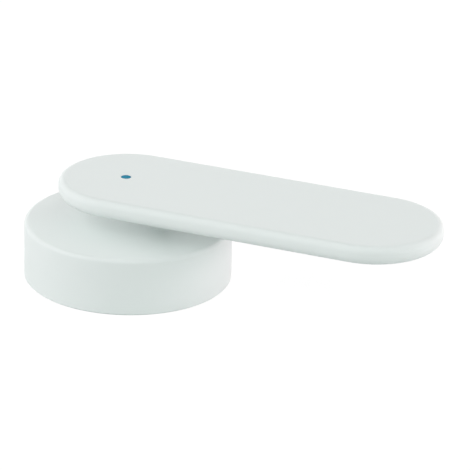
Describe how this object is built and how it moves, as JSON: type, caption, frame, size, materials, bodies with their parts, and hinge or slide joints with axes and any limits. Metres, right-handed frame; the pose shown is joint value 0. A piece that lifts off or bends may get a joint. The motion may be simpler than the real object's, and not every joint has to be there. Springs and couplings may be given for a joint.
{
  "type": "tap handle",
  "caption": "Flat round-ended lever floating above a low round hub, a push-on handle that turns the spindle of a cold-water basin tap, with a small index dot.",
  "frame": {"origin": "on the hub axis, in the plane of the hub's rim, where the spindle enters", "axes": "+Z along the hub axis, up out of the tap; +X along the lever, from the hub towards its tip"},
  "size_m": [0.0995, 0.048, 0.024],
  "materials": {
    "lacquer": "satin",
    "index_plastic": "gloss",
    "screw_steel": "satin"
  },
  "bodies": {
    "root": {"handle_body": "lacquer", "index_dot": "index_plastic", "grub_screw": "screw_steel"}
  },
  "joints": []
}
